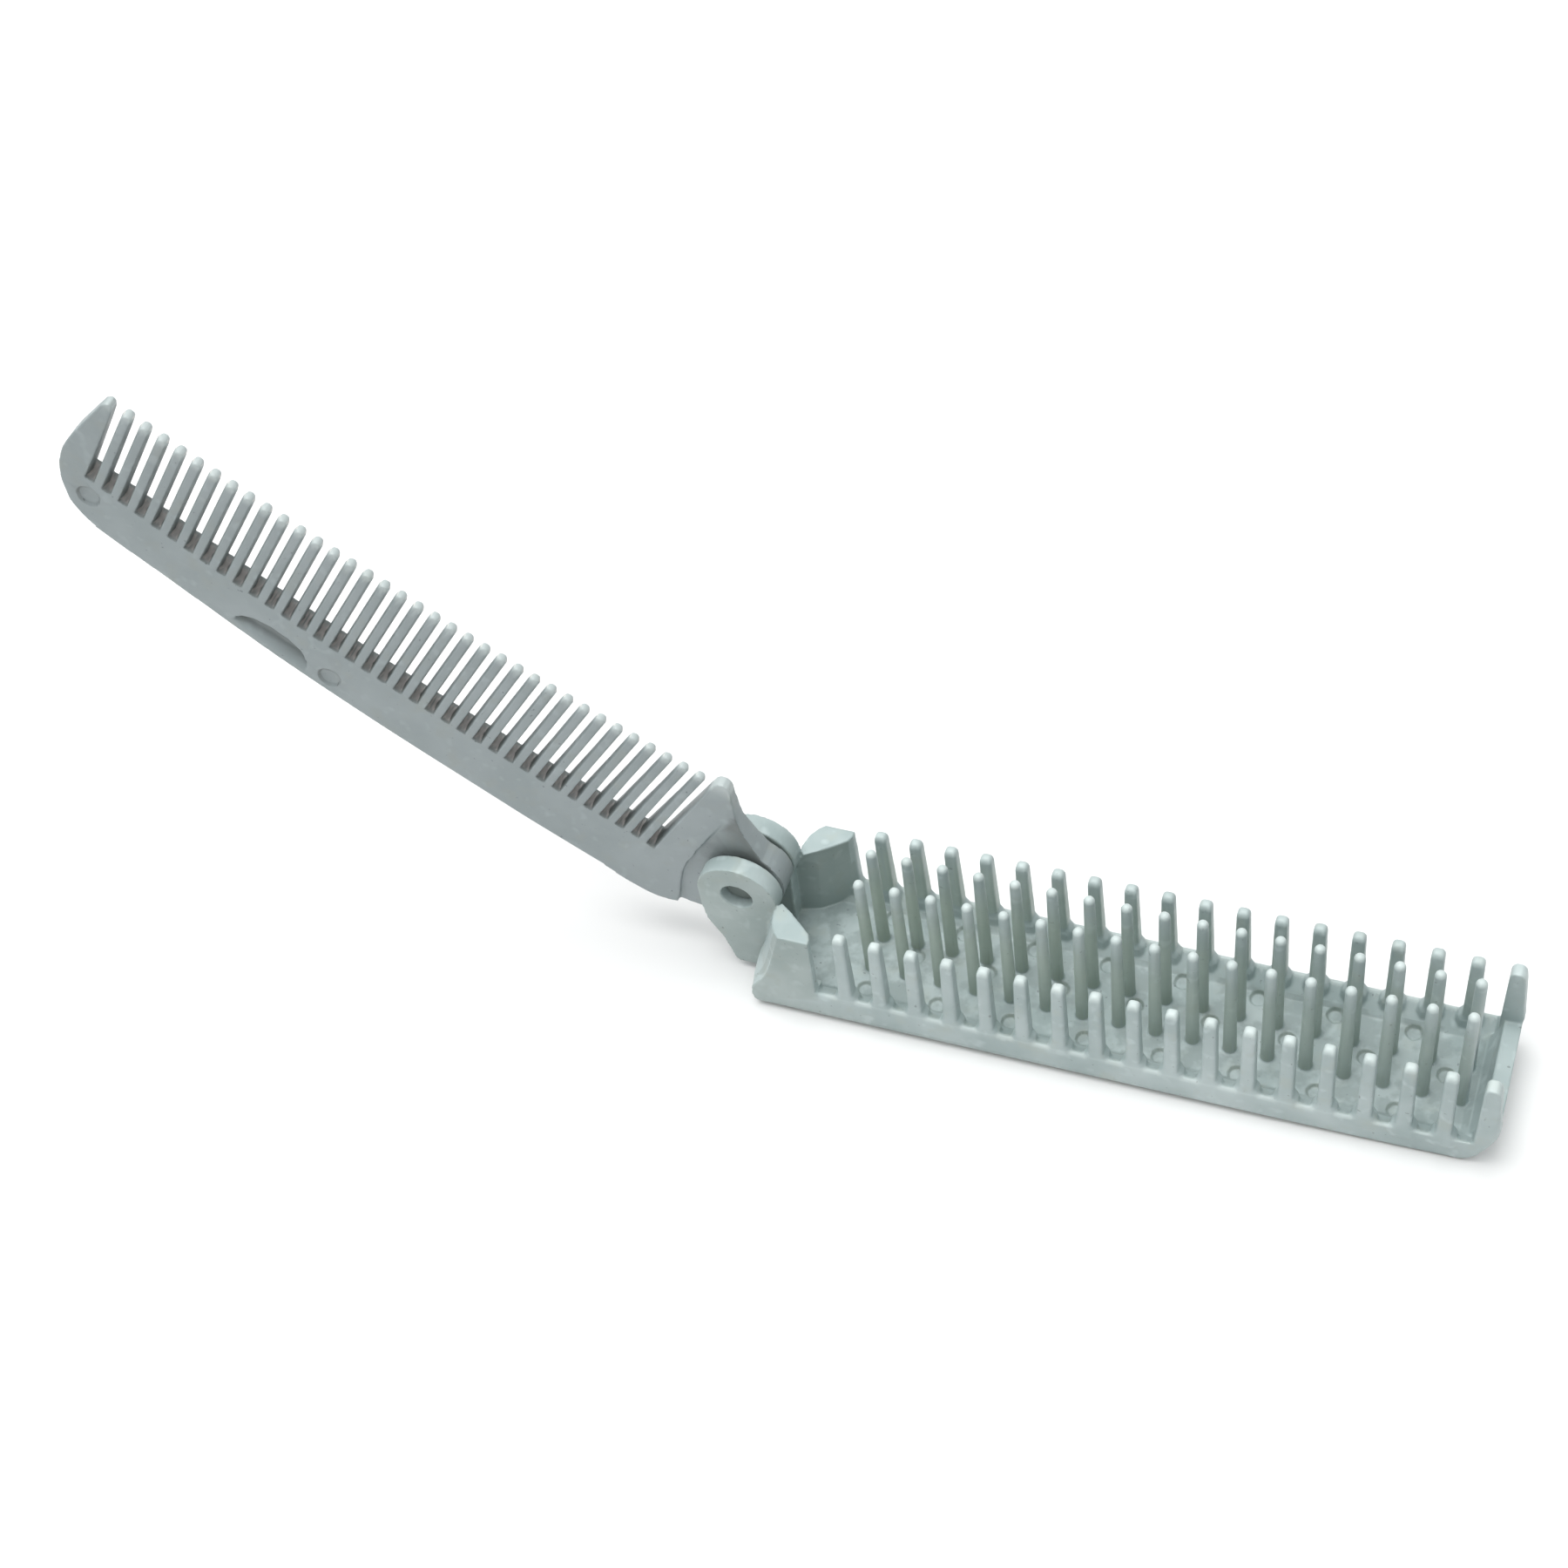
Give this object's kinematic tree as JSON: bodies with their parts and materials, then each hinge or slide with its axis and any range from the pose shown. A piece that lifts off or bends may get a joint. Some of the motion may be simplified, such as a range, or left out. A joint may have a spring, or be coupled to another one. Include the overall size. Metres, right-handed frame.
{
  "type": "folding comb",
  "caption": "Folding pocket hair comb: a fine-toothed comb half turns on a pin at the end of a brush half with rows of blunt pins, and folds down between them.",
  "frame": {"origin": "on the flat back of the brush half, on its centre line, near the middle of its length", "axes": "+X along the brush half from the hinge to its free end, +Y across it, +Z from the back towards the tips of its pins"},
  "size_m": [0.1818, 0.0202, 0.0852],
  "materials": {
    "brush_plastic": "matte pale grey-green, slightly speckled",
    "comb_plastic": "matte pale grey-green, slightly speckled",
    "pin_plastic": "matte grey-green"
  },
  "bodies": {
    "brush_body": {"brush_half": "brush_plastic", "hinge_pin": "pin_plastic"},
    "comb_body": {"comb_half": "comb_plastic"}
  },
  "joints": [
    {"name": "fold", "type": "hinge", "parent": "brush_body", "child": "comb_body", "pos_m": [-0.05043, 0, 0.01613], "axis": [0, -1, 0], "range_deg": [-138, 35.4]}
  ]
}
